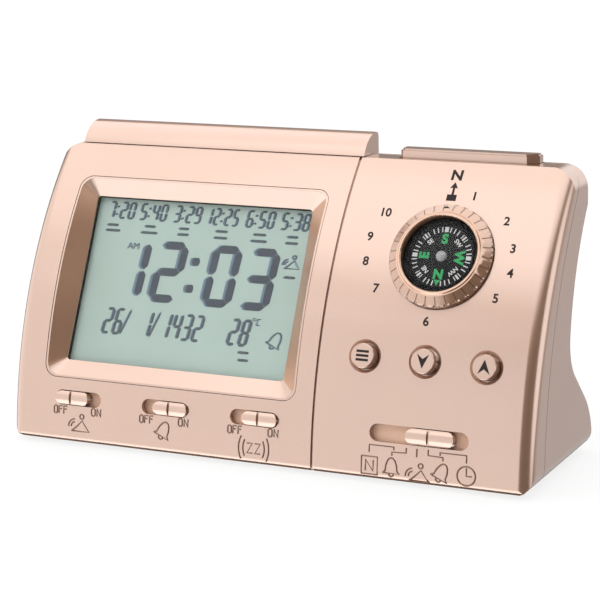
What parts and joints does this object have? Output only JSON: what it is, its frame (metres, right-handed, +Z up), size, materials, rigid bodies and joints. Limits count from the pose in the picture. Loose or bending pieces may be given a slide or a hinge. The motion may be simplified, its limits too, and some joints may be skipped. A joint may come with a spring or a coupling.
{
  "type": "prayer time clock",
  "caption": "Desk prayer-time clock: curved sloped front with a display, a selector ring round a compass, press keys, slide switches and push bars on top.",
  "frame": {"origin": "centre of the clock's footprint, on the surface that its rubber feet stand on", "axes": "+X to the right seen from the front, along the width; +Y towards the back; +Z up"},
  "size_m": [0.185, 0.0586, 0.102],
  "materials": {
    "rose_paint": "satin metallic champagne rose paint on moulded plastic",
    "clear_plastic": "clear moulded plastic",
    "display_glass": "grey-green display glass",
    "diffuser": "milky light guide",
    "lamp": "small lamp",
    "black_plastic": "black moulded plastic",
    "card_black": "printed black disc",
    "rubber": "soft black rubber",
    "board_green": "green laminate",
    "steel": "plated steel",
    "silver": "polished cap",
    "cone_paper": "coated paper",
    "cell_wrap": "plain green sleeve"
  },
  "bodies": {
    "case": {"front_shell": "rose_paint", "rear_shell": "rose_paint", "display_bezel": "rose_paint", "display_window": "clear_plastic", "display_glass": "display_glass", "light_guide": "diffuser", "display_holder": "black_plastic", "contact_rubber": "rubber", "backlight_led": "lamp", "main_board": "board_green", "board_chips": "black_plastic", "compass_bowl": "black_plastic", "compass_pin": "steel", "compass_dome": "clear_plastic", "selector_board": "board_green", "key_switches": "black_plastic", "key_board": "board_green", "slide_switches": "steel", "mode_switch": "steel", "slide_board": "board_green", "top_switches": "black_plastic", "top_board": "board_green", "speaker_basket": "black_plastic", "speaker_cone": "cone_paper", "speaker_magnet": "steel", "battery_tray": "black_plastic", "cell_low": "cell_wrap", "cell_high": "cell_wrap", "contact_springs": "steel", "contact_plates": "steel", "case_screws": "steel", "board_screws": "steel", "rubber_feet": "rubber"},
    "snooze_bar": {"snooze_bar": "rose_paint"},
    "light_bar": {"light_bar": "rose_paint"},
    "set_key": {"set_key": "rose_paint"},
    "down_key": {"down_key": "rose_paint"},
    "up_key": {"up_key": "rose_paint"},
    "azan_knob": {"azan_knob": "rose_paint"},
    "alarm_knob": {"alarm_knob": "rose_paint"},
    "snooze_knob": {"snooze_knob": "rose_paint"},
    "mode_knob": {"mode_knob": "rose_paint"},
    "selector": {"selector_ring": "rose_paint", "ring_retainer": "black_plastic"},
    "card": {"compass_card": "card_black", "compass_hub": "silver", "compass_magnet": "steel"},
    "battery_door": {"battery_door": "rose_paint"}
  },
  "joints": [
    {"name": "snooze_bar_press", "type": "hinge", "parent": "case", "child": "snooze_bar", "pos_m": [0, 0.0141, 0.0957], "axis": [-1, 0, 0], "range_deg": [0, 5], "stiffness_Nm_per_rad": 0.5, "springref_deg": -4.58},
    {"name": "light_bar_press", "type": "slide", "parent": "case", "child": "light_bar", "axis": [0, 0, -1], "range_m": [0, 0.001], "stiffness_N_per_m": 400, "springref_m": -0.001},
    {"name": "set_key_press", "type": "slide", "parent": "case", "child": "set_key", "axis": [0, 0.9465, -0.3227], "range_m": [0, 0.001], "stiffness_N_per_m": 400, "springref_m": -0.001},
    {"name": "down_key_press", "type": "slide", "parent": "case", "child": "down_key", "axis": [0, 0.9465, -0.3227], "range_m": [0, 0.001], "stiffness_N_per_m": 400, "springref_m": -0.001},
    {"name": "up_key_press", "type": "slide", "parent": "case", "child": "up_key", "axis": [0, 0.9465, -0.3227], "range_m": [0, 0.001], "stiffness_N_per_m": 400, "springref_m": -0.001},
    {"name": "azan_switch_slide", "type": "slide", "parent": "case", "child": "azan_knob", "axis": [1, 0, 0], "range_m": [0, 0.0043]},
    {"name": "alarm_switch_slide", "type": "slide", "parent": "case", "child": "alarm_knob", "axis": [1, 0, 0], "range_m": [-0.0043, 0]},
    {"name": "snooze_switch_slide", "type": "slide", "parent": "case", "child": "snooze_knob", "axis": [1, 0, 0], "range_m": [-0.0043, 0]},
    {"name": "mode_switch_slide", "type": "slide", "parent": "case", "child": "mode_knob", "axis": [1, 0, 0], "range_m": [-0.01155, 0.00385]},
    {"name": "selector_turn", "type": "hinge", "parent": "case", "child": "selector", "pos_m": [0.0554, -0.00748, 0.0689], "axis": [0, -0.8515, 0.5243], "continuous": true},
    {"name": "compass_turn", "type": "hinge", "parent": "case", "child": "card", "pos_m": [0.0554, -0.00748, 0.0689], "axis": [0, -0.8515, 0.5243], "continuous": true},
    {"name": "battery_door_lift", "type": "slide", "parent": "case", "child": "battery_door", "axis": [0, 0.6871, 0.7266], "range_m": [0, 0.02]}
  ]
}
